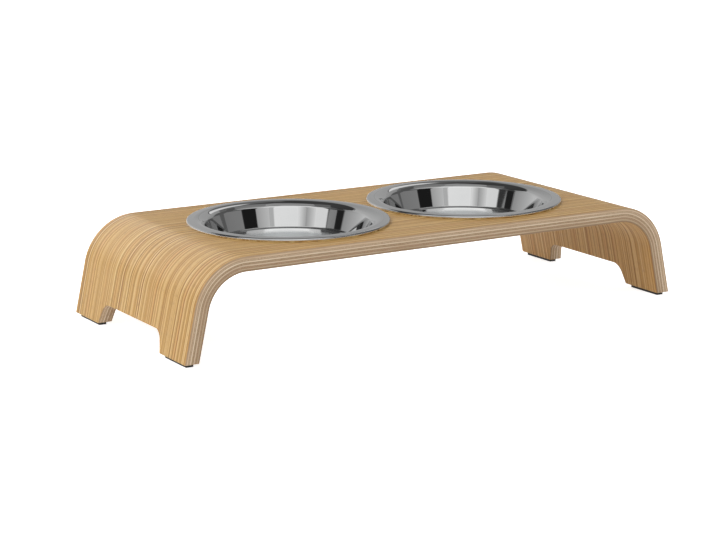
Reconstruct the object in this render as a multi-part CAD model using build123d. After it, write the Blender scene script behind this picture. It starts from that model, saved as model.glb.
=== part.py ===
from build123d import *
import math
import os

# Elevated cat feeder: a bench bent from nine oak veneers, two steel bowls in its round holes, four foot pads.
# Millimetres. X runs along the bench, the front is at -Y, and Z = 0 is the floor under the middle of the bench.

# Moulded board
face_veneer = 1.30
core_veneer = 1.34
core_veneer_count = 7

# Bench, measured from the bowls that it carries
end_margin = 9.1
side_margin = 15.1
bench_height = 79.6
bend_radius = 45.0
leg_splay = 12.3

# Cut-out between the two feet of each leg
foot_length = 42.2
foot_side_lean = 20.0
arch_rise = 16.4
arch_corner_radius = 10.0

# Foot pads
pad_thickness = 2.7
pad_side_inset = 2.8
pad_end_inset = 3.6
pad_corner_radius = 1.0

# Bowls: the mouth is the corner where the rim turns down into the lip, measured before its bend is rounded
well_mouth_radius = 71.6
lip_width = 5.1
lip_drop = 4.1
lip_upper_radius = 11.0
lip_lower_radius = 3.7
well_draft = 5.6
well_depth = 20.9
well_corner_radius = 1.5
rim_width = 9.8
rim_rise = 0.6
rim_edge_height = 2.6
rim_edge_radius = 1.5
bowl_sheet = 0.7
bowl_gap = 5.7
hole_clearance = 4.0

# Worked out from the sizes above
board_thickness = 2 * face_veneer + core_veneer_count * core_veneer
bend_turn = 90.0 - leg_splay
rim_radius = well_mouth_radius + rim_width
wall_top_radius = well_mouth_radius - lip_width
hole_radius = wall_top_radius + hole_clearance
bowl_spacing = 2 * rim_radius + bowl_gap
flat_length = bowl_spacing + 2 * rim_radius + 2 * end_margin
bench_depth = 2 * rim_radius + 2 * side_margin
bowl_places = {"left_bowl": -bowl_spacing / 2, "right_bowl": bowl_spacing / 2}


def tangent_length(radius, turn):
    """Distance from a corner to where its fillet starts."""
    return radius * math.tan(math.radians(turn / 2))


def leg_x(depth, z):
    """Distance from the middle to the leg's face that lies this deep in the board, at height z."""
    corner = flat_length / 2 + tangent_length(bend_radius - depth, bend_turn)
    drop = bench_height - depth - z
    return corner + drop * math.tan(math.radians(leg_splay))


def face_line(depth):
    """The bench's end view at one depth in the board, from the left foot over the top to the right foot."""
    top = bench_height - depth
    foot = leg_x(depth, pad_thickness)
    corner = leg_x(depth, top)
    points = [(-foot, pad_thickness), (-corner, top), (corner, top), (foot, pad_thickness)]
    return Plane.XZ * FilletPolyline(*points, radius=bend_radius - depth)


def foot_gap():
    """The space between the front and back feet, cut through both legs at once."""
    arch_top = pad_thickness + arch_rise
    half_floor = bench_depth / 2 - foot_length
    lean = math.tan(math.radians(foot_side_lean))
    half_top = half_floor - arch_rise * lean
    half_below = half_floor + pad_thickness * lean
    corners = [(-half_below, 0), (-half_top, arch_top), (half_top, arch_top), (half_below, 0)]
    outline = make_face(Polyline(*corners, close=True))
    rounded = [corner for corner in outline.vertices() if corner.Y > arch_top / 2]
    outline = fillet(rounded, arch_corner_radius)
    return extrude(Plane.YZ * outline, leg_x(0, 0), both=True)


def veneer(outer_depth, thickness):
    """One bent sheet of the board, with the bowl holes and the gaps between the feet cut out."""
    outer = face_line(outer_depth)
    inner = face_line(outer_depth + thickness)
    left_edge = Line(outer @ 0, inner @ 0)
    right_edge = Line(outer @ 1, inner @ 1)
    sheet = extrude(make_face([outer, left_edge, inner, right_edge]), bench_depth / 2, both=True)
    sheet -= foot_gap()
    hole = Cylinder(hole_radius, 2 * board_thickness)
    for place in bowl_places.values():
        sheet -= Pos(place, 0, bench_height) * hole
    return sheet


def bowl(place):
    """One pressed bowl, all one sheet thick: turned-down edge, rim, sloping lip, leaning wall and flat floor."""
    rim_edge = bench_height + rim_edge_height
    mouth = rim_edge + rim_rise
    floor = mouth - well_depth
    points = [
        (rim_radius, bench_height),
        (rim_radius, rim_edge),
        (well_mouth_radius, mouth),
        (wall_top_radius, mouth - lip_drop),
        (wall_top_radius - well_draft, floor),
        (0, floor),
    ]
    bends = [rim_edge_radius, lip_upper_radius, lip_lower_radius, well_corner_radius]
    food_side = Wire(FilletPolyline(*points, radius=bends).edges())
    section = make_face(food_side.offset_2d(bowl_sheet, side=Side.LEFT, closed=True))
    return Pos(place, 0, 0) * revolve(Plane.XZ * section, Axis.Z)


def pad(side, end):
    """One pad under a foot; side is -1 for the left leg, end is -1 for the front."""
    foot_inner = leg_x(board_thickness, pad_thickness)
    foot_outer = leg_x(0, pad_thickness)
    width = foot_outer - foot_inner - 2 * pad_side_inset
    length = foot_length - 2 * pad_end_inset
    outline = RectangleRounded(width, length, pad_corner_radius)
    across = side * (foot_inner + foot_outer) / 2
    along = end * (bench_depth - foot_length) / 2
    return Pos(across, along, 0) * extrude(outline, pad_thickness)


nodes = {"outer_face_veneer": veneer(0, face_veneer)}
for number in range(1, core_veneer_count + 1):
    core_depth = face_veneer + (number - 1) * core_veneer
    nodes[f"core_veneer_{number}"] = veneer(core_depth, core_veneer)
nodes["inner_face_veneer"] = veneer(board_thickness - face_veneer, face_veneer)
for bowl_name, bowl_place in bowl_places.items():
    nodes[bowl_name] = bowl(bowl_place)
for side_name, side in {"left": -1, "right": 1}.items():
    for end_name, end in {"front": -1, "back": 1}.items():
        nodes[f"{end_name}_{side_name}_pad"] = pad(side, end)

os.makedirs("parts", exist_ok=True)
for node_name, solid in nodes.items():
    export_step(solid, f"parts/{node_name}.step")
print(f"{len(nodes)} nodes, board {board_thickness:.2f} mm, length {2 * leg_x(0, pad_thickness):.1f} mm")
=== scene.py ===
import math

import bmesh
import bpy
from mathutils import Matrix, Vector


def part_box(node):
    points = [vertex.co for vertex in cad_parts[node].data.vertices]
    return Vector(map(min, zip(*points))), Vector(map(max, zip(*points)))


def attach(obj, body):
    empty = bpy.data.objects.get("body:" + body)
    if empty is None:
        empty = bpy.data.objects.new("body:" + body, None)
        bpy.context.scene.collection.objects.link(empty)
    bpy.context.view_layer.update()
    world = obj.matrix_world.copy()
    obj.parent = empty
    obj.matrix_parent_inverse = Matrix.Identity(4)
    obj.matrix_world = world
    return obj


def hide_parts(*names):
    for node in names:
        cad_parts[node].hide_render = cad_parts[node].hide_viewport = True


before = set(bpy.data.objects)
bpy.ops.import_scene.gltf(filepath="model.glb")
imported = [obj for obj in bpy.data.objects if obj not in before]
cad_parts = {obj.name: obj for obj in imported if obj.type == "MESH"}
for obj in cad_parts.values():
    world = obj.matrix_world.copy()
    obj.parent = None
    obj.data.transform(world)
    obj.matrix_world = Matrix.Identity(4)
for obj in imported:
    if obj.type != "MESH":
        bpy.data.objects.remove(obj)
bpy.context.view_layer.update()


# The board. Nine oak veneers are glued over a former and cured as one board, bent down at both ends.
# Each is made here the same way: drawn out flat, turned round the former, drawn down the leg and cut level
# at the foot. The bowl holes and the gaps between the feet are cut through afterwards.
face_veneer = 0.00130
core_veneer = 0.00134
core_count = 7
board_thickness = 2 * face_veneer + core_count * core_veneer
bend_radius = 0.045
leg_splay = math.radians(12.3)
bend_turn = math.pi / 2 - leg_splay
bend_facets = 40
outer_low, outer_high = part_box("outer_face_veneer")
bench_top = outer_high.z
foot_end = outer_low.z
half_depth = outer_high.y
leg_spread = (bench_top - foot_end) * math.tan(leg_splay)
half_flat = outer_high.x - leg_spread - bend_radius * math.tan(bend_turn / 2)
bend_centre = Vector((half_flat, 0, bench_top - bend_radius))
leg_down = Vector((math.sin(leg_splay), 0, -math.cos(leg_splay)))
leg_out = Vector((math.cos(leg_splay), 0, math.sin(leg_splay)))
touching = 1e-6

hole_radius = 0.0705
hole_facets = 160
foot_length = 0.0422
foot_side_lean = math.radians(20)
arch_rise = 0.0164
arch_corner_radius = 0.010
arch_corner_facets = 12
arris_radius = 0.00045
arris_facets = 3
least_arris_turn = math.radians(40)
least_sharp_turn = math.radians(35)


def middle_of(node):
    """The middle of a CAD node's box."""
    low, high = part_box(node)
    return (low + high) / 2


def draw_out(bm, faces, offset):
    """Extrudes the faces by the offset and gives back the faces at the far end."""
    made = bmesh.ops.extrude_face_region(bm, geom=faces)["geom"]
    bmesh.ops.translate(bm, verts=[v for v in made if isinstance(v, bmesh.types.BMVert)], vec=offset)
    return [f for f in made if isinstance(f, bmesh.types.BMFace)]


def new_object(name, bm):
    """Turns the bmesh into an object at the origin."""
    mesh = bpy.data.meshes.new(name)
    bm.to_mesh(mesh)
    bm.free()
    obj = bpy.data.objects.new(name, mesh)
    bpy.context.scene.collection.objects.link(obj)
    return obj


def shade_evenly(obj):
    """Weighs the smooth shading by face area, so that a broad face stays plain beside its small bends."""
    even = obj.modifiers.new("even_shading", "WEIGHTED_NORMAL")
    even.mode = "FACE_AREA"
    even.weight = 100
    even.keep_sharp = True


def bent_sheet(depth, thickness):
    """One veneer whose outer side lies this deep in the board, before any cutting."""
    bm = bmesh.new()
    bmesh.ops.create_grid(bm, x_segments=1, y_segments=1, size=0.5)
    middle = Matrix.Translation((0, 0, bench_top - depth - thickness / 2))
    upright = Matrix.Rotation(math.pi / 2, 4, "Y")
    section = Matrix.Diagonal((thickness, 2 * half_depth, 1, 1))
    bmesh.ops.transform(bm, matrix=middle @ upright @ section, verts=bm.verts[:])
    end = draw_out(bm, bm.faces[:], (half_flat, 0, 0))
    turned = bmesh.ops.spin(
        bm, geom=end, cent=bend_centre, axis=(0, 1, 0), angle=bend_turn,
        steps=bend_facets, use_duplicate=False,
    )
    end = [f for f in turned["geom_last"] if isinstance(f, bmesh.types.BMFace)]
    draw_out(bm, end, leg_down * bench_top)
    everything = bm.verts[:] + bm.edges[:] + bm.faces[:]
    cut = bmesh.ops.bisect_plane(
        bm, geom=everything, plane_co=(0, 0, foot_end), plane_no=(0, 0, -1), clear_outer=True
    )
    sole = [e for e in cut["geom_cut"] if isinstance(e, bmesh.types.BMEdge)]
    bmesh.ops.contextual_create(bm, geom=sole)
    seam = [f for f in bm.faces if all(v.co.x < touching for v in f.verts)]
    bmesh.ops.delete(bm, geom=seam, context="FACES")
    half = bm.verts[:] + bm.edges[:] + bm.faces[:]
    bmesh.ops.mirror(bm, geom=half, matrix=Matrix.Identity(4), merge_dist=touching, axis="X")
    bmesh.ops.recalc_face_normals(bm, faces=bm.faces[:])
    return bm


def hole_cutter(x):
    """The cylinder that a bowl hole is bored with."""
    bm = bmesh.new()
    bmesh.ops.create_cone(
        bm, cap_ends=True, segments=hole_facets, radius1=hole_radius, radius2=hole_radius,
        depth=4 * board_thickness,
    )
    bmesh.ops.translate(bm, verts=bm.verts[:], vec=(x, 0, bench_top))
    return new_object("hole_cutter", bm)


def gap_cutter():
    """The bar, round at its two top corners, that the gaps between the feet are cut with."""
    bm = bmesh.new()
    bmesh.ops.create_grid(bm, x_segments=1, y_segments=1, size=0.5)
    lean = math.tan(foot_side_lean)
    half_floor = half_depth - foot_length
    past_foot = 2 * foot_end
    past_leg = 2 * outer_high.x
    for vert in bm.verts:
        above = arch_rise if vert.co.x > 0 else -past_foot
        side = math.copysign(half_floor - above * lean, vert.co.y)
        vert.co = (-past_leg, side, foot_end + above)
    corners = [v for v in bm.verts if v.co.z > foot_end]
    corner_turn = math.pi / 2 - foot_side_lean
    bmesh.ops.bevel(
        bm, geom=corners, offset=arch_corner_radius * math.tan(corner_turn / 2), offset_type="OFFSET",
        affect="VERTICES", segments=arch_corner_facets, profile=0.5, material=-1,
    )
    draw_out(bm, bm.faces[:], (2 * past_leg, 0, 0))
    bmesh.ops.recalc_face_normals(bm, faces=bm.faces[:])
    return new_object("gap_cutter", bm)


def blank_place(co, ply_middle):
    """Where a point of the bent board lay on the flat blank: (along, across, depth from the outer side)."""
    side = math.copysign(1, co.x)
    arm = Vector((abs(co.x), 0, co.z)) - bend_centre
    if arm.x <= 0:
        return Vector((co.x, co.y, bench_top - co.z))
    turn = math.atan2(arm.x, arm.z)
    ply_radius = bend_radius - ply_middle
    if turn <= bend_turn:
        return Vector((side * (half_flat + ply_radius * turn), co.y, bend_radius - arm.length))
    along = half_flat + ply_radius * bend_turn + arm.dot(leg_down)
    return Vector((side * along, co.y, bend_radius - arm.dot(leg_out)))


def cut_veneer(name, depth, thickness, show_side=None):
    """A finished veneer. show_side is the depth of a side that shows, whose edges get their small arris."""
    sheet = new_object(name, bent_sheet(depth, thickness))
    cutters = [hole_cutter(middle_of(bowl).x) for bowl in ("left_bowl", "right_bowl")] + [gap_cutter()]
    for cutter in cutters:
        modifier = sheet.modifiers.new("cut", "BOOLEAN")
        modifier.operation = "DIFFERENCE"
        modifier.solver = "EXACT"
        modifier.object = cutter
    cut_sheet = sheet.evaluated_get(bpy.context.evaluated_depsgraph_get())
    cut_mesh = bpy.data.meshes.new_from_object(cut_sheet)
    sheet.modifiers.clear()
    for cutter in cutters:
        bpy.data.objects.remove(cutter)
    bm = bmesh.new()
    bm.from_mesh(cut_mesh)
    bmesh.ops.remove_doubles(bm, verts=bm.verts[:], dist=touching)
    ply_middle = depth + thickness / 2
    if show_side is not None:
        shown = {v for v in bm.verts if abs(blank_place(v.co, ply_middle).z - show_side) < touching}
        shown_edges = [e for e in bm.edges if set(e.verts) <= shown and e.is_manifold]
        arris = [e for e in shown_edges if e.calc_face_angle() > least_arris_turn]
        bmesh.ops.bevel(
            bm, geom=arris, offset=arris_radius, offset_type="OFFSET", affect="EDGES",
            segments=arris_facets, profile=0.5, material=-1, clamp_overlap=True,
        )
    for face in bm.faces:
        face.smooth = True
    for edge in bm.edges:
        edge.smooth = edge.is_manifold and edge.calc_face_angle() < least_sharp_turn
    places = [blank_place(v.co, ply_middle) for v in bm.verts]
    bm.to_mesh(sheet.data)
    bm.free()
    own_side = depth if show_side is None else show_side
    blank = sheet.data.attributes.new("blank", "FLOAT_VECTOR", "POINT")
    for item, place in zip(blank.data, places):
        item.vector = (place.x, place.y, abs(place.z - own_side))
    shade_evenly(sheet)
    return sheet


def linear(hex_colour):
    """An sRGB hex colour as the linear values that a shader socket takes."""
    channels = [int(hex_colour[i:i + 2], 16) / 255 for i in (1, 3, 5)]
    return [c / 12.92 if c <= 0.04045 else ((c + 0.055) / 1.055) ** 2.4 for c in channels] + [1.0]


def add(tree, kind, inputs=None, stops=(), **settings):
    """Adds a node with its settings. An input takes a value, an output socket, or a node, whose first live
    output it is linked to. Stops are a colour ramp's, as (position, hex colour)."""
    node = tree.nodes.new(kind)
    for key, value in settings.items():
        setattr(node, key, value)
    for number, (position, colour) in enumerate(stops):
        if number == len(node.color_ramp.elements):
            node.color_ramp.elements.new(position)
        node.color_ramp.elements[number].position = position
        node.color_ramp.elements[number].color = linear(colour)
    for key, value in (inputs or {}).items():
        if isinstance(value, bpy.types.Node):
            value = next(output for output in value.outputs if output.enabled)
        if isinstance(value, bpy.types.NodeSocket):
            tree.links.new(value, node.inputs[key])
        else:
            node.inputs[key].default_value = value
    return node


def new_material(name):
    """An empty material and its node tree."""
    material = bpy.data.materials.new(name)
    material.use_nodes = True
    material.node_tree.nodes.clear()
    return material, material.node_tree


# The oak's figure, drawn on the flat blank, with its sizes in millimetres. Three sizes run along the blank,
# across it and through it, and 1000 keeps a pattern the same at every depth. Pores and hair lines are drawn
# a little wider than oak's own, which would be too fine to show.
year_mm = 4.7
year_share = 0.17
crowding_mm = 14.1
crowding_reach = 2.0
line_mm = 1.7
line_share = 0.7
line_roughness = 0.6
patch_mm = (90, 5, 1000)
patch_share = 0.16
wander_mm = (240, 70, 1000)
wander_reach_mm = 9
wander_seed = 5.5
figure_middle = 0.52
figure_tones = [(0.0, "#81591a"), (0.28, "#a27933"), (0.50, "#be9755"), (0.72, "#cdac6f"), (1.0, "#dac18b")]
stripes = {"yellow": (8, 0.45, 0.65, "#f8f0da"), "pink": (6, 0.52, 0.70, "#fcf3ec")}
hair_line_mm = 0.8
hair_limits = {"From Min": 0.35, "From Max": 0.60}
hair_tones = [(0.0, "#b99a72"), (1.0, "#ffffff")]
hair_strength = 0.35
pore_mm = (6.0, 0.30, 1000)
pore_limits = {"From Min": 0.66, "From Max": 0.74}
pore_tone = "#7d5a31"
pore_strength = 0.6
grain_relief = 0.00005
cut_edge_mm = {"From Min": 0.05, "From Max": 0.30}
cut_edge_fibre_mm = (25, 0.4, 0.25)
cut_edge_fibre_tone = "#c9bcae"

# Each seed shows another stretch of a pattern, this much further on.
line_seed_step = 17.0
fibre_seed_step = (1.0, 2.3, 0)


def fibres(tree, size_mm, seed, detail=2):
    """Noise on the flat blank whose specks have this size along it, across it and through it."""
    place = add(tree, "ShaderNodeAttribute", attribute_name="blank").outputs["Vector"]
    per_metre = [1000 / size for size in size_mm]
    shift = [seed * step for step in fibre_seed_step]
    drawn = add(tree, "ShaderNodeMapping", {"Vector": place, "Scale": per_metre, "Location": shift})
    return add(tree, "ShaderNodeTexNoise", {"Vector": drawn, "Scale": 1.0, "Detail": detail})


def across_grain(tree):
    """The distance across the blank, in metres, for lines that wander a little from side to side."""
    place = add(tree, "ShaderNodeAttribute", attribute_name="blank").outputs["Vector"]
    across = add(tree, "ShaderNodeSeparateXYZ", {"Vector": place}).outputs["Y"]
    wander = fibres(tree, wander_mm, wander_seed, detail=1)
    reach = wander_reach_mm / 1000
    return add(tree, "ShaderNodeMath", {0: wander, 1: reach, 2: across}, operation="MULTIPLY_ADD")


def growth_lines(tree, spacing_mm, detail, seed):
    """Uneven lines, about this far apart, that run the whole length of the blank."""
    count = {0: across_grain(tree), 1: 1000 / spacing_mm, 2: line_seed_step * seed}
    line = add(tree, "ShaderNodeMath", count, operation="MULTIPLY_ADD")
    look = {"W": line, "Scale": 1.0, "Detail": detail, "Roughness": line_roughness}
    return add(tree, "ShaderNodeTexNoise", look, noise_dimensions="1D")


def year_rings(tree, seed):
    """The tree's years as the knife cut them: one line after the other, now closer and now wider apart."""
    crowding = growth_lines(tree, crowding_mm, 1, seed + 9)
    count = {0: across_grain(tree), 1: 1000 / year_mm, 2: seed}
    even = add(tree, "ShaderNodeMath", count, operation="MULTIPLY_ADD")
    uneven = add(tree, "ShaderNodeMath", {0: crowding, 1: crowding_reach, 2: even}, operation="MULTIPLY_ADD")
    turn = add(tree, "ShaderNodeMath", {0: uneven, 1: math.tau}, operation="MULTIPLY")
    wave = add(tree, "ShaderNodeMath", {0: turn}, operation="SINE")
    return add(tree, "ShaderNodeMath", {0: wave, 1: 0.5, 2: 0.5}, operation="MULTIPLY_ADD")


def own_depth(tree):
    """How deep a point lies under its own veneer's outer side, in millimetres."""
    place = add(tree, "ShaderNodeAttribute", attribute_name="blank").outputs["Vector"]
    depth = add(tree, "ShaderNodeSeparateXYZ", {"Vector": place}).outputs["Z"]
    return add(tree, "ShaderNodeMath", {0: depth, 1: 1000.0}, operation="MULTIPLY")


def lacquered_oak(name, tone, edge_tone, reach, seed):
    """Rift-cut oak veneer under clear satin lacquer: pale tan with straight brown growth lines a few
    millimetres apart, yellower and pinker stripes, short dark pores along the grain and a soft sheen. The
    tone multiplies it, but not its greyer cut edge; on the inner veneer that tone is painted shade. The
    smaller the reach, the harder the lines stand out."""
    material, tree = new_material(name)
    years = year_rings(tree, seed)
    fine = growth_lines(tree, line_mm, 2, seed)
    faint = add(tree, "ShaderNodeMath", {0: fine, 1: line_share}, operation="MULTIPLY")
    lines = add(tree, "ShaderNodeMath", {0: years, 1: year_share, 2: faint}, operation="MULTIPLY_ADD")
    patches = fibres(tree, patch_mm, seed + 2)
    uneven = add(tree, "ShaderNodeMath", {0: patches, 1: patch_share, 2: lines}, operation="MULTIPLY_ADD")
    figure_limits = {"From Min": figure_middle - reach, "From Max": figure_middle + reach}
    figure = add(tree, "ShaderNodeMapRange", {"Value": uneven, **figure_limits})
    wood = add(tree, "ShaderNodeValToRGB", {"Fac": figure}, stops=figure_tones)

    # A Mix node of colours has its first and second colour in sockets 6 and 7.
    for number, (spacing_mm, none, full, tint) in enumerate(stripes.values(), start=3):
        stripe = growth_lines(tree, spacing_mm, 1, seed + number)
        shown = add(tree, "ShaderNodeMapRange", {"Value": stripe, "From Min": none, "From Max": full})
        colours = {"Factor": shown, 6: wood, 7: linear(tint)}
        wood = add(tree, "ShaderNodeMix", colours, data_type="RGBA", blend_type="MULTIPLY")

    hairs = growth_lines(tree, hair_line_mm, 2, seed + 5)
    between = add(tree, "ShaderNodeMapRange", {"Value": hairs, **hair_limits})
    hair_tone = add(tree, "ShaderNodeValToRGB", {"Fac": between}, stops=hair_tones)
    colours = {"Factor": hair_strength, 6: wood, 7: hair_tone}
    wood = add(tree, "ShaderNodeMix", colours, data_type="RGBA", blend_type="MULTIPLY")

    specks = fibres(tree, pore_mm, seed + 6, detail=0)
    pores = add(tree, "ShaderNodeMapRange", {"Value": specks, **pore_limits})
    shown = add(tree, "ShaderNodeMath", {0: pores, 1: pore_strength}, operation="MULTIPLY")
    colours = {"Factor": shown, 6: wood, 7: linear(pore_tone)}
    wood = add(tree, "ShaderNodeMix", colours, data_type="RGBA", blend_type="MIX")
    colours = {"Factor": 1.0, 6: wood, 7: linear(tone)}
    toned = add(tree, "ShaderNodeMix", colours, data_type="RGBA", blend_type="MULTIPLY")

    edge_fibres = fibres(tree, cut_edge_fibre_mm, seed + 7)
    colours = {"Factor": edge_fibres, 6: linear(edge_tone), 7: linear(cut_edge_fibre_tone)}
    edge = add(tree, "ShaderNodeMix", colours, data_type="RGBA", blend_type="MULTIPLY")
    cut = add(tree, "ShaderNodeMapRange", {"Value": own_depth(tree), **cut_edge_mm})
    colours = {"Factor": cut, 6: toned, 7: edge}
    whole = add(tree, "ShaderNodeMix", colours, data_type="RGBA", blend_type="MIX")

    raised = add(tree, "ShaderNodeMath", {0: lines, 1: pores}, operation="SUBTRACT")
    bump = add(tree, "ShaderNodeBump", {"Height": raised, "Strength": 0.5, "Distance": grain_relief})
    surface = add(tree, "ShaderNodeBsdfPrincipled", {
        "Base Color": whole, "Roughness": 0.5, "IOR": 1.5, "Specular IOR Level": 0.3,
        "Coat Weight": 0.15, "Coat Roughness": 0.36, "Normal": bump,
    })
    add(tree, "ShaderNodeOutputMaterial", {"Surface": surface})
    return material


# The core veneers' edges, also in millimetres. The glue darkens a veneer from where it starts to where it is
# full, both measured from the veneer's side.
core_tones = ["#d5bea0", "#bfa789", "#dbc9ae", "#ad9474", "#ceb99d", "#aa8e6e", "#bfa98b"]
long_fibre_mm = (26, 1.1, 0.22)
cross_fibre_mm = (0.9, 26, 0.5)
fibre_limits = {"From Min": 0.35, "From Max": 0.65}
fibre_tone = "#d8cabb"
fibre_relief = 0.00004
glue_start_mm = 0.14
glue_full_mm = 0.04
glue_tone = "#b49c86"


def sealed_ply_edge(name, tone, lengthwise, seed):
    """The sanded and sealed edge of one core veneer. Fibres that run along the edge show as long pale
    streaks, and fibres cut across it as short dark ticks; a thin brown glue line darkens both sides."""
    material, tree = new_material(name)
    mottle = fibres(tree, long_fibre_mm if lengthwise else cross_fibre_mm, seed)
    shown = add(tree, "ShaderNodeMapRange", {"Value": mottle, **fibre_limits})
    colours = {"Factor": shown, 6: linear(tone), 7: linear(fibre_tone)}
    wood = add(tree, "ShaderNodeMix", colours, data_type="RGBA", blend_type="MULTIPLY")
    middle = core_veneer * 1000 / 2
    off_middle = add(tree, "ShaderNodeMath", {0: own_depth(tree), 1: middle}, operation="SUBTRACT")
    outward = add(tree, "ShaderNodeMath", {0: off_middle}, operation="ABSOLUTE")
    glue_limits = {"From Min": middle - glue_start_mm, "From Max": middle - glue_full_mm}
    glue = add(tree, "ShaderNodeMapRange", {"Value": outward, **glue_limits})
    colours = {"Factor": glue, 6: wood, 7: linear(glue_tone)}
    glued = add(tree, "ShaderNodeMix", colours, data_type="RGBA", blend_type="MULTIPLY")
    bump = add(tree, "ShaderNodeBump", {"Height": mottle, "Strength": 0.4, "Distance": fibre_relief})
    look = {"Base Color": glued, "Roughness": 0.58, "IOR": 1.5, "Normal": bump}
    surface = add(tree, "ShaderNodeBsdfPrincipled", look)
    add(tree, "ShaderNodeOutputMaterial", {"Surface": surface})
    return material


under_sheen = bpy.data.collections.new("oak_under_the_sheen_lamp")


def glue_in(veneer, finish, node):
    """Gives a veneer its finish and its place in the board."""
    veneer.data.materials.append(finish)
    under_sheen.objects.link(veneer)
    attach(veneer, "bench")
    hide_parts(node)


veneer = cut_veneer("outer_oak_veneer", 0.0, face_veneer, show_side=0.0)
finish = lacquered_oak(
    "lacquered_rift_oak_outside", tone="#ffffff", edge_tone="#bda280", reach=0.24, seed=1
)
glue_in(veneer, finish, "outer_face_veneer")

for number, tone in enumerate(core_tones, start=1):
    lengthwise = number % 2 == 1
    depth = face_veneer + (number - 1) * core_veneer
    veneer = cut_veneer(f"oak_ply_{number}", depth, core_veneer)
    finish = sealed_ply_edge(f"sealed_edge_of_ply_{number}", tone, lengthwise, seed=number)
    glue_in(veneer, finish, f"core_veneer_{number}")

depth = board_thickness - face_veneer
veneer = cut_veneer("inner_oak_veneer", depth, face_veneer, show_side=board_thickness)
# The inside's tone is painted shade: it darkens the inner veneer, under the board and inside the legs.
finish = lacquered_oak(
    "lacquered_rift_oak_inside_with_painted_shade", tone="#f6f1f4", edge_tone="#9b8161", reach=0.27, seed=21
)
glue_in(veneer, finish, "inner_face_veneer")


# The bowls. Each is pressed from one sheet of stainless steel: a turned-down edge that stands on the board,
# a rim, a sloping lip, a leaning wall and a flat floor. It is polished bright and drops into its hole.
bowl_sheet = 0.0007
bowl_turns = 192
bowl_bend_facets = 16
rim_edge_height = 0.0026
rim_edge_radius = 0.0015
rim_rise = 0.0006
well_mouth_radius = 0.0716
lip_width = 0.0051
lip_drop = 0.0041
lip_upper_radius = 0.0110
lip_lower_radius = 0.0037
well_draft = 0.0056
well_depth = 0.0209
well_corner_radius = 0.0015

bright_tone = "#e6e6e6"
buff_ring_mm = 0.5
buff_ring_share = 0.5
buff_ring_relief = 0.00001
buff_limits = {"From Min": 0.4, "From Max": 1.1, "To Min": 0.02, "To Max": 0.06}
dull_patch_mm = 25
dull_patch_limits = {"From Min": 0.3, "From Max": 0.7}
dull_patch_tone = "#e2e3e3"
satin_radius = 0.051
satin_fade = 0.012
satin_roughness = 0.28
satin_scatter = 0.5
satin_tone = "#c3c7c8"
floor_wave_length = 0.018
floor_wave_height = 0.000016


def pressed_bowl(name, node):
    """The bowl's food side, from edge to middle, as one line turned about the axis, then given its sheet."""
    low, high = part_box(node)
    middle = middle_of(node)
    rim_edge = bench_top + rim_edge_height
    mouth = rim_edge + rim_rise
    floor = mouth - well_depth
    rim_radius = (high.x - low.x) / 2
    wall_top_radius = well_mouth_radius - lip_width
    corners = [
        (rim_radius, bench_top),
        (rim_radius, rim_edge),
        (well_mouth_radius, mouth),
        (wall_top_radius, mouth - lip_drop),
        (wall_top_radius - well_draft, floor),
        (0, floor),
    ]
    bends = [rim_edge_radius, lip_upper_radius, lip_lower_radius, well_corner_radius]
    bm = bmesh.new()
    verts = [bm.verts.new((radius, 0, height)) for radius, height in corners]
    for pair in zip(verts, verts[1:]):
        bm.edges.new(pair)
    for vert, bend in zip(verts[1:-1], bends):
        arms = [edge.other_vert(vert).co - vert.co for edge in vert.link_edges]
        turn = math.pi - arms[0].angle(arms[1])
        bmesh.ops.bevel(
            bm, geom=[vert], offset=bend * math.tan(turn / 2), offset_type="OFFSET", affect="VERTICES",
            segments=bowl_bend_facets, profile=0.5, material=-1,
        )
    bmesh.ops.spin(
        bm, geom=bm.verts[:] + bm.edges[:], cent=(0, 0, 0), axis=(0, 0, 1), angle=math.tau,
        steps=bowl_turns, use_merge=True, use_duplicate=False,
    )
    bmesh.ops.remove_doubles(bm, verts=bm.verts[:], dist=touching)
    bmesh.ops.recalc_face_normals(bm, faces=bm.faces[:])
    crest = max(vert.co.z for vert in bm.verts)
    bmesh.ops.translate(bm, verts=bm.verts[:], vec=(middle.x, middle.y, high.z - crest))
    for face in bm.faces:
        face.smooth = True
    bowl = new_object(name, bm)
    wall = bowl.modifiers.new("sheet", "SOLIDIFY")
    wall.thickness = bowl_sheet
    wall.offset = -1
    wall.use_even_offset = True
    shade_evenly(bowl)
    return bowl


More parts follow.
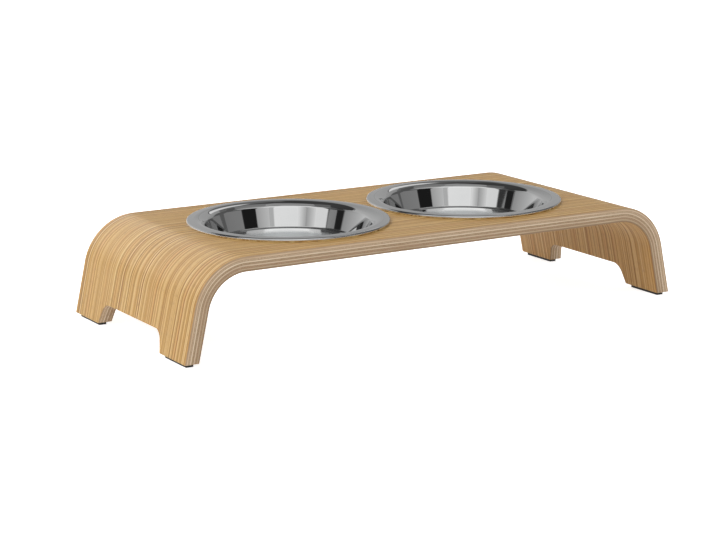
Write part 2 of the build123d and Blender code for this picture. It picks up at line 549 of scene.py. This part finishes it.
def polished_steel(name, middle):
    """Stainless steel, pressed and buffed on a spindle: a bright neutral mirror with thin rings about the
    bowl's axis, drawn coarser than the buff's own so that they show, and faint dull patches. The buff
    doesn't reach the middle of its floor, which stays greyer, satin and slightly wavy."""
    material, tree = new_material(name)
    place = add(tree, "ShaderNodeTexCoord").outputs["Object"]
    centred = add(tree, "ShaderNodeMapping", {"Vector": place, "Location": (-middle.x, -middle.y, 0)})
    flat = add(tree, "ShaderNodeVectorMath", {0: centred, 1: (1, 1, 0)}, operation="MULTIPLY")
    radius = add(tree, "ShaderNodeVectorMath", {0: flat}, operation="LENGTH")
    ring_place = add(tree, "ShaderNodeMath", {0: radius, 1: 1000 / buff_ring_mm}, operation="MULTIPLY")
    look = {"W": ring_place, "Scale": 1.0, "Detail": 2}
    rings = add(tree, "ShaderNodeTexNoise", look, noise_dimensions="1D")
    look = {"Vector": centred, "Scale": 1000 / dull_patch_mm, "Detail": 3}
    patches = add(tree, "ShaderNodeTexNoise", look)

    floor_limits = {"From Min": satin_radius, "From Max": satin_radius - satin_fade}
    on_floor = add(tree, "ShaderNodeMapRange", {"Value": radius, **floor_limits})
    dull = add(tree, "ShaderNodeMapRange", {"Value": patches, **dull_patch_limits})
    colours = {"Factor": dull, 6: linear(bright_tone), 7: linear(dull_patch_tone)}
    tone = add(tree, "ShaderNodeMix", colours, data_type="RGBA", blend_type="MIX")
    colours = {"Factor": on_floor, 6: tone, 7: linear(satin_tone)}
    floor_tone = add(tree, "ShaderNodeMix", colours, data_type="RGBA", blend_type="MULTIPLY")

    both = {0: rings, 1: buff_ring_share, 2: patches}
    uneven = add(tree, "ShaderNodeMath", both, operation="MULTIPLY_ADD")
    buffed = add(tree, "ShaderNodeMapRange", {"Value": uneven, **buff_limits})
    rough = add(tree, "ShaderNodeMapRange", {"Value": on_floor, "To Min": buffed, "To Max": satin_roughness})
    mirror = add(tree, "ShaderNodeMath", {0: on_floor, 1: -satin_scatter, 2: 1.0}, operation="MULTIPLY_ADD")

    per_metre = math.tau / floor_wave_length
    turn = add(tree, "ShaderNodeMath", {0: radius, 1: per_metre}, operation="MULTIPLY")
    wave = add(tree, "ShaderNodeMath", {0: turn}, operation="COSINE")
    floor_wave = add(tree, "ShaderNodeMath", {0: wave, 1: on_floor}, operation="MULTIPLY")
    look = {"Height": floor_wave, "Strength": 1.0, "Distance": floor_wave_height / 2}
    waved = add(tree, "ShaderNodeBump", look)
    look = {"Height": rings, "Strength": 0.05, "Distance": buff_ring_relief, "Normal": waved}
    bump = add(tree, "ShaderNodeBump", look)
    look = {"Base Color": floor_tone, "Roughness": rough, "Metallic": mirror, "Normal": bump}
    surface = add(tree, "ShaderNodeBsdfPrincipled", look)
    add(tree, "ShaderNodeOutputMaterial", {"Surface": surface})
    return material


for side in ("left", "right"):
    node = f"{side}_bowl"
    bowl = pressed_bowl(f"{side}_steel_bowl", node)
    bowl.data.materials.append(polished_steel(f"buffed_stainless_steel_{side}", middle_of(node)))
    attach(bowl, node)
    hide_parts(node)


# The foot pads. Each is a short strip of matt black rubber, stuck flat under a foot. It is a little smaller
# than the foot, so that it doesn't show as a border, and keeps the oak's cut end off the floor.
pad_corner_radius = 0.0010
pad_corner_facets = 5
pad_edge_radius = 0.0003
pad_edge_facets = 3
least_pad_edge_turn = math.radians(80)
rubber_skin_mm = 0.4
rubber_skin_relief = 0.00008
rubber_dust_mm = 6
rubber_tones = [(0.40, "#1b1a18"), (0.70, "#2b2926")]


def rubber_pad(name, node):
    """A block the size of the CAD pad, with its four upright corners and its edges rounded."""
    low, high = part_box(node)
    bm = bmesh.new()
    place = Matrix.Translation(middle_of(node)) @ Matrix.Diagonal((*(high - low), 1))
    bmesh.ops.create_cube(bm, size=1, matrix=place)
    upright = [e for e in bm.edges if abs(e.verts[0].co.z - e.verts[1].co.z) > touching]
    bmesh.ops.bevel(
        bm, geom=upright, offset=pad_corner_radius, affect="EDGES", segments=pad_corner_facets,
        profile=0.5, material=-1,
    )
    rims = [e for e in bm.edges if e.calc_face_angle() > least_pad_edge_turn]
    bmesh.ops.bevel(
        bm, geom=rims, offset=pad_edge_radius, affect="EDGES", segments=pad_edge_facets,
        profile=0.5, material=-1,
    )
    for face in bm.faces:
        face.smooth = True
    pad = new_object(name, bm)
    shade_evenly(pad)
    return pad


def black_rubber(name):
    """Moulded black rubber: near black and matt, with a trace of grey dust and a fine sandy skin, which is
    drawn coarser than the real one so that it shows."""
    material, tree = new_material(name)
    place = add(tree, "ShaderNodeTexCoord").outputs["Object"]
    look = {"Vector": place, "Scale": 1000 / rubber_skin_mm, "Detail": 3}
    skin = add(tree, "ShaderNodeTexNoise", look)
    look = {"Vector": place, "Scale": 1000 / rubber_dust_mm, "Detail": 2}
    dust = add(tree, "ShaderNodeTexNoise", look)
    tone = add(tree, "ShaderNodeValToRGB", {"Fac": dust}, stops=rubber_tones)
    bump = add(tree, "ShaderNodeBump", {"Height": skin, "Strength": 0.5, "Distance": rubber_skin_relief})
    look = {"Base Color": tone, "Roughness": 0.78, "IOR": 1.52, "Normal": bump}
    surface = add(tree, "ShaderNodeBsdfPrincipled", look)
    add(tree, "ShaderNodeOutputMaterial", {"Surface": surface})
    return material


rubber = black_rubber("moulded_black_rubber")
for end in ("front", "back"):
    for side in ("left", "right"):
        node = f"{end}_{side}_pad"
        pad = rubber_pad(f"{end}_{side}_rubber_pad", node)
        pad.data.materials.append(rubber)
        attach(pad, "bench")
        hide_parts(node)


# The floor. A wide board under the feeder, painted matt white. To the camera and in the gloss it runs out
# to white. It throws a little light up under the feeder and keeps its soft shadow.
floor_size = 14.0
floor_paint = "#e9ebee"
floor_glow = 0.78
floor_bounce = 0.22

bm = bmesh.new()
bmesh.ops.create_grid(bm, x_segments=1, y_segments=1, size=floor_size / 2)
floor = new_object("studio_floor", bm)
material, tree = new_material("matt_white_floor")
paint = add(tree, "ShaderNodeBsdfPrincipled", {"Base Color": linear(floor_paint), "Roughness": 0.9})
rays = add(tree, "ShaderNodeLightPath").outputs
kinds = {0: rays["Is Camera Ray"], 1: rays["Is Glossy Ray"]}
seen = add(tree, "ShaderNodeMath", kinds, operation="MAXIMUM")
bounce = add(tree, "ShaderNodeEmission", {"Color": linear("#ffffff"), "Strength": floor_bounce})
glow = add(tree, "ShaderNodeEmission", {"Color": linear("#ffffff"), "Strength": floor_glow})
lift = add(tree, "ShaderNodeMixShader", {0: seen, 1: bounce, 2: glow})
both = add(tree, "ShaderNodeAddShader", {0: paint, 1: lift})
add(tree, "ShaderNodeOutputMaterial", {"Surface": both})
floor.data.materials.append(material)


# The studio's cards, white, grey and black. Only the polished steel and the lacquer see them, and they draw
# the bands in the bowls. Each has its two sides' azimuths at foot and at head, in degrees clockwise from +Y,
# its two elevations, and its two sides' tones at foot and at head. A later card stands a little nearer.
card_distance = 6.0
card_gap = 0.02
card_step = 3
card_rows = 8
card_soft_side = 1.5
card_soft_head = 0.03
cards = {
    "low_card_front": ((154, 299), (154, 299), (0, 19), (0.27, 0.26), (0.3, 0.24)),
    "low_card_right": ((38, 80), (38, 80), (0, 8), (0.12, 0.1), (0.12, 0.1)),
    "high_card_right": ((60, 190), (60, 190), (52, 76), (0.18, 0.4), (0.2, 0.22)),
    "high_card_left": ((187, 275), (187, 275), (58, 78), (0.6, 0.26), (0.28, 0.18)),
    "pale_card_behind_left": ((292, 348), (311, 348), (0, 43), (0.36, 0.64), (0.22, 0.5)),
    "pale_card_behind_right": ((344, 400), (344, 390), (0, 41), (0.62, 0.38), (0.5, 0.22)),
    "grey_card_behind_right": ((393, 423), (392, 420), (6, 27), (0.38, 0.38), (0.36, 0.36)),
    "window_right": ((402, 419), (404, 415), (28, 52), (0.76, 0.76), (0.8, 0.66)),
    "grey_card_right": ((419, 444), (415, 430), (6, 39), (0.33, 0.28), (0.36, 0.28)),
    "dark_card_right": ((438, 502), (432, 484), (8, 53), (0.11, 0.11), (0.09, 0.09)),
    "dim_card_low_right": ((436, 470), (436, 470), (0, 11), (0.2, 0.22), (0.2, 0.22)),
    "dim_card_right": ((464, 502), (464, 500), (0, 30), (0.21, 0.24), (0.21, 0.24)),
    "head_over_black": ((106, 190), (106, 190), (42, 54), (0.36, 0.95), (0.26, 0.74)),
    "black_card_right": ((138, 163), (131, 162), (17, 42), (0.012, 0.012), (0.014, 0.014)),
    "grey_card_front": ((160.5, 185), (160, 185), (19, 43), (0.38, 0.66), (0.41, 0.51)),
    "grey_edge_front": ((181, 190), (181, 190), (19, 43), (0.5, 0.5), (0.5, 0.5)),
    "white_card_front": ((187.5, 229), (187.5, 229), (19, 51), (0.85, 0.83), (1.12, 1.07)),
    "white_card_fading": ((225, 241), (225, 241), (19, 51), (0.83, 0.3), (1.07, 0.35)),
    "white_card_front_left": ((237, 254), (237, 254), (19, 51), (0.36, 0.8), (0.41, 0.82)),
    "white_card_left": ((250, 271), (250, 269), (19, 51), (0.8, 0.82), (0.82, 0.67)),
    "white_head_front": ((162, 261), (170, 252), (47, 61), (1.2, 1.2), (0.54, 0.35)),
    "pale_head_left": ((262, 290), (262, 290), (40, 50), (0.8, 0.4), (0.76, 0.3)),
    "dim_card_left": ((271, 286), (271, 286), (13, 21.5), (0.29, 0.24), (0.29, 0.24)),
    "black_card_left": ((271, 301), (269, 314), (21.5, 46), (0.035, 0.05), (0.12, 0.06)),
    "black_card_low_left": ((284, 298), (284, 298), (10, 22.5), (0.016, 0.016), (0.016, 0.016)),
    "black_flag_behind": ((302, 391), (302, 391), (42, 61), (0.03, 0.05), (0.05, 0.06)),
    "black_flag_overhead": ((345, 415), (345, 415), (56, 83), (0.05, 0.05), (0, 0)),
}


def card(name, distance, foot, head, elevations, foot_tones, head_tones):
    """A curved panel whose sides may lean, its side edges and its head a little soft."""
    low, high = (distance * math.tan(math.radians(elevation)) for elevation in elevations)
    columns = math.ceil((foot[1] - foot[0]) / card_step)
    bm = bmesh.new()
    bmesh.ops.create_grid(bm, x_segments=columns, y_segments=card_rows, size=0.5)
    on_card = [(vert.co.x + 0.5, vert.co.y + 0.5, 0) for vert in bm.verts]
    for vert, (across, up, _) in zip(bm.verts, on_card):
        sides = [bottom + (top - bottom) * up for bottom, top in zip(foot, head)]
        turn = math.radians(sides[0] + (sides[1] - sides[0]) * across)
        vert.co = (distance * math.sin(turn), distance * math.cos(turn), low + (high - low) * up)
    panel = new_object(name, bm)
    places = panel.data.attributes.new("on_card", "FLOAT_VECTOR", "POINT")
    for item, place in zip(places.data, on_card):
        item.vector = place

    material, tree = new_material(name)
    place = add(tree, "ShaderNodeAttribute", attribute_name="on_card").outputs["Vector"]
    parts = add(tree, "ShaderNodeSeparateXYZ", {"Vector": place})
    across, up = parts.outputs["X"], parts.outputs["Y"]
    off_middle = add(tree, "ShaderNodeMath", {0: across, 1: 0.5}, operation="SUBTRACT")
    sideways = add(tree, "ShaderNodeMath", {0: off_middle}, operation="ABSOLUTE")
    soft_from = 0.5 - card_soft_side / (foot[1] - foot[0])
    side = add(tree, "ShaderNodeMapRange", {"Value": sideways, "From Min": 0.5, "From Max": soft_from})
    soft_above = 1.0 - card_soft_head
    top = add(tree, "ShaderNodeMapRange", {"Value": up, "From Min": 1.0, "From Max": soft_above})
    shown = add(tree, "ShaderNodeMath", {0: side, 1: top}, operation="MULTIPLY")
    foot_tone, head_tone = (
        add(tree, "ShaderNodeMapRange", {"Value": across, "To Min": left, "To Max": right})
        for left, right in (foot_tones, head_tones)
    )
    tone = add(tree, "ShaderNodeMapRange", {"Value": up, "To Min": foot_tone, "To Max": head_tone})
    light = add(tree, "ShaderNodeEmission", {"Color": linear("#ffffff"), "Strength": tone})
    clear = add(tree, "ShaderNodeBsdfTransparent")
    surface = add(tree, "ShaderNodeMixShader", {0: shown, 1: clear, 2: light})
    add(tree, "ShaderNodeOutputMaterial", {"Surface": surface})
    panel.data.materials.append(material)
    panel.visible_camera = False
    panel.visible_diffuse = False
    panel.visible_transmission = False
    panel.visible_shadow = False


for number, (name, sizes) in enumerate(cards.items()):
    card(name, card_distance - card_gap * number, *sizes)


# The lamps and the sky. Soft boxes on stands face the feeder: a key and a fill behind it that light it, one
# overhead that only its gloss shows, and two that put the sheen on the oak alone. The sky is an even white
# that fills the shadows, and the gloss shows it as a dim ceiling.
sky_fill = 0.75
sky_seen = 1.0
sky_mirrored = 0.14


def soft_lamp(name, azimuth, elevation, distance, width, height, watts, gloss_only=False):
    """A soft box that faces the feeder, and either doesn't show in its gloss or shows only there."""
    data = bpy.data.lights.new(name, "AREA")
    data.shape = "RECTANGLE"
    data.size = width
    data.size_y = height
    data.energy = watts
    lamp = bpy.data.objects.new(name, data)
    bpy.context.scene.collection.objects.link(lamp)
    flat = math.cos(math.radians(elevation))
    turn = math.radians(azimuth)
    aim = Vector((math.sin(turn) * flat, math.cos(turn) * flat, math.sin(math.radians(elevation))))
    lamp.location = aim * distance
    lamp.rotation_euler = aim.to_track_quat("Z", "Y").to_euler()
    lamp.visible_glossy = gloss_only
    lamp.visible_diffuse = not gloss_only
    return lamp


soft_lamp("key_soft_box", azimuth=-97, elevation=48, distance=3.0, width=1.6, height=1.6, watts=36)
soft_lamp("fill_soft_box_behind", azimuth=-38, elevation=22, distance=3.0, width=1.6, height=1.6, watts=10)
sheen_lamp_behind = soft_lamp(
    "sheen_soft_box_behind", azimuth=-12, elevation=23, distance=3.0, width=3.3, height=1.3, watts=34,
    gloss_only=True,
)
soft_lamp(
    "overhead_soft_box", azimuth=0, elevation=90, distance=6.0, width=3.0, height=3.0, watts=5,
    gloss_only=True,
)
sheen_lamp_right = soft_lamp(
    "sheen_soft_box_right", azimuth=38, elevation=14, distance=3.0, width=1.0, height=0.7, watts=1.2,
    gloss_only=True,
)
for lamp in (sheen_lamp_behind, sheen_lamp_right):
    lamp.light_linking.receiver_collection = under_sheen

world = bpy.data.worlds.new("pale_studio")
bpy.context.scene.world = world
world.use_nodes = True
tree = world.node_tree
tree.nodes.clear()
rays = add(tree, "ShaderNodeLightPath").outputs
fill = add(tree, "ShaderNodeBackground", {"Color": linear("#ffffff"), "Strength": sky_fill})
ceiling = add(tree, "ShaderNodeBackground", {"Color": linear("#ffffff"), "Strength": sky_mirrored})
white = add(tree, "ShaderNodeBackground", {"Color": linear("#ffffff"), "Strength": sky_seen})
unseen = add(tree, "ShaderNodeMixShader", {0: rays["Is Glossy Ray"], 1: fill, 2: ceiling})
sky = add(tree, "ShaderNodeMixShader", {0: rays["Is Camera Ray"], 1: unseen, 2: white})
add(tree, "ShaderNodeOutputWorld", {"Surface": sky})


# The camera. It stands left of the feeder's front and a little above it, as the photograph's did. Its place,
# its angles and its long lens come from the fit of the photograph's outline.
camera_place = Vector((-0.93395, -1.49367, 0.42996))
camera_yaw = math.radians(31.443)
camera_pitch = math.radians(12.742)
camera_lens = 110.96
camera_sensor = 36.0
data = bpy.data.cameras.new("photo_camera")
data.sensor_width = camera_sensor
data.lens = camera_lens
camera = bpy.data.objects.new("photo_camera", data)
bpy.context.scene.collection.objects.link(camera)
camera.location = camera_place
camera.rotation_euler = (math.pi / 2 - camera_pitch, 0, -camera_yaw)
bpy.context.scene.camera = camera
bpy.context.scene.view_settings.view_transform = "Standard"
